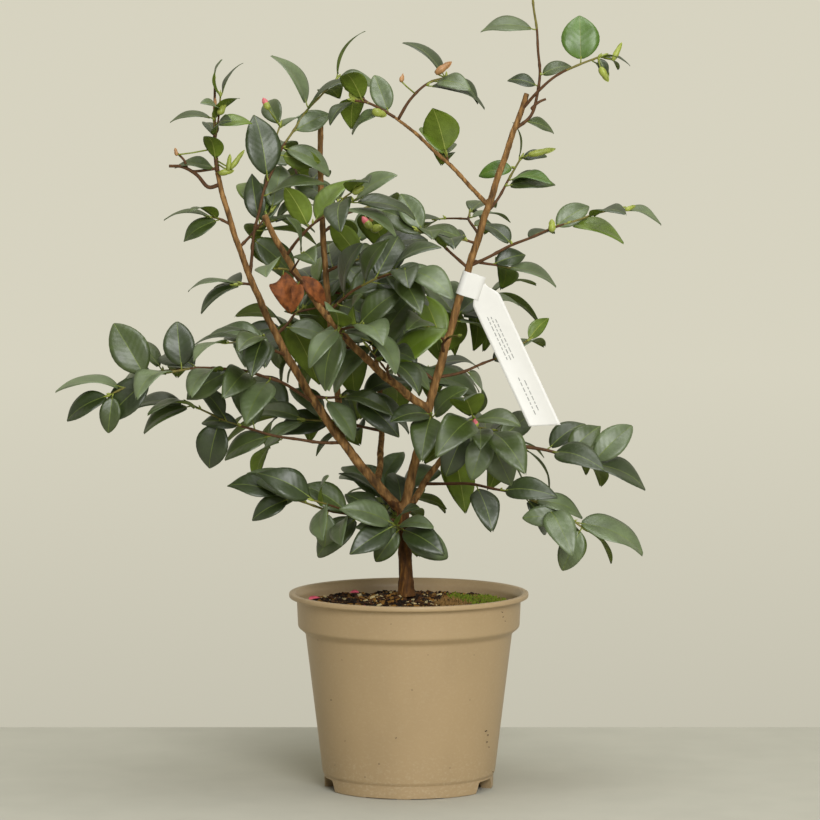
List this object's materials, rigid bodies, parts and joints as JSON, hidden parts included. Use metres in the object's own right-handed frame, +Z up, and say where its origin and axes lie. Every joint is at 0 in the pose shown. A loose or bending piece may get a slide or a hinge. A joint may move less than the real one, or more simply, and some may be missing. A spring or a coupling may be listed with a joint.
{
  "type": "potted camellia shrub",
  "caption": "Young camellia shrub with glossy dark green leaves, standing in a round beige grower's pot full of potting mix, with a blank loop label on one stem.",
  "frame": {"origin": "centre of the pot's flat underside, where it stands on the ground", "axes": "+Z up along the pot's axis, +X to the right as seen from the front, +Y to the back"},
  "size_m": [0.5492, 0.424, 0.7943],
  "materials": {
    "pot_plastic": "beige moulded plastic with a soft sheen",
    "potting_mix": "dark crumbly potting mix",
    "bark": "smooth brown bark",
    "leaves": "glossy dark green leaves",
    "label_film": "blank white label film"
  },
  "bodies": {
    "root": {"bough_arch": "bark", "bough_back": "bark", "bough_front": "bark", "bough_left": "bark", "bough_rear": "bark", "bough_rear_left": "bark", "bough_right": "bark", "foliage_arch_left": "leaves", "foliage_arch_low": "leaves", "foliage_arch_right": "leaves", "foliage_back_high": "leaves", "foliage_back_mid": "leaves", "foliage_back_right_high": "leaves", "foliage_back_right_low": "leaves", "foliage_back_right_mid": "leaves", "foliage_back_top": "leaves", "foliage_behind_tag": "leaves", "foliage_center_green": "leaves", "foliage_center_high": "leaves", "foliage_center_leaf": "leaves", "foliage_center_low": "leaves", "foliage_center_mid": "leaves", "foliage_center_right": "leaves", "foliage_front_high": "leaves", "foliage_front_low": "leaves", "foliage_front_mid": "leaves", "foliage_inner_left": "leaves", "foliage_inner_low": "leaves", "foliage_inner_mid": "leaves", "foliage_inner_top": "leaves", "foliage_left_front": "leaves", "foliage_left_high": "leaves", "foliage_left_reach": "leaves", "foliage_left_side": "leaves", "foliage_left_top": "leaves", "foliage_left_under": "leaves", "foliage_low_back": "leaves", "foliage_low_front": "leaves", "foliage_low_left": "leaves", "foliage_rear_left_low": "leaves", "foliage_rear_left_mid": "leaves", "foliage_rear_mid": "leaves", "foliage_rear_top": "leaves", "foliage_right_front": "leaves", "foliage_right_front_high": "leaves", "foliage_right_low": "leaves", "foliage_right_mid": "leaves", "foliage_right_reach": "leaves", "foliage_right_twig": "leaves", "foliage_right_under": "leaves", "foliage_top_shoot": "leaves", "foliage_top_side": "leaves", "label": "label_film", "pot": "pot_plastic", "soil": "potting_mix", "trunk": "bark"}
  },
  "joints": []
}
